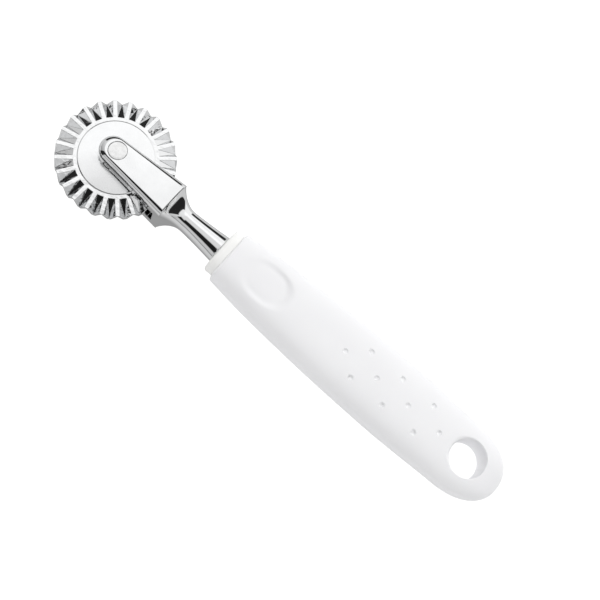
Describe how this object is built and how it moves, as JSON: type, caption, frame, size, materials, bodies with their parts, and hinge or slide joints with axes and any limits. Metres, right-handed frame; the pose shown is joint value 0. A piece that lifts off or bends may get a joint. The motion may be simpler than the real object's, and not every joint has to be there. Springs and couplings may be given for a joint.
{
  "type": "pastry wheel",
  "caption": "Hand pastry wheel: fluted chromed cutting wheel on a riveted axle in a cast fork, with a plastic handle that has a thumb rest, grip dimples and a hanging hole.",
  "frame": {"origin": "middle of the tool's length and width, on the plane that the fork's back face lies on", "axes": "+X from the wheel to the end of the handle, +Z along the wheel's axis towards the face with the thumb rest"},
  "size_m": [0.176, 0.038, 0.0169],
  "materials": {
    "wheel_chrome": "bright plated die casting",
    "fork_chrome": "bright plated die casting",
    "rivet_steel": "plain bright head",
    "bush_steel": "turned",
    "washer_steel": "stamped",
    "collar_plastic": "smooth, slightly warm white",
    "grip_plastic": "satin white"
  },
  "bodies": {
    "handle": {"fork": "fork_chrome", "axle_rivet": "rivet_steel", "wheel_bush": "bush_steel", "thrust_washer_front": "washer_steel", "thrust_washer_rear": "washer_steel", "handle_insert": "collar_plastic", "handle_grip": "grip_plastic"},
    "wheel": {"pastry_wheel": "wheel_chrome"}
  },
  "joints": [
    {"name": "wheel_spin", "type": "hinge", "parent": "handle", "child": "wheel", "pos_m": [-0.069, 0, 0.0084], "axis": [0, 0, 1], "continuous": true}
  ]
}
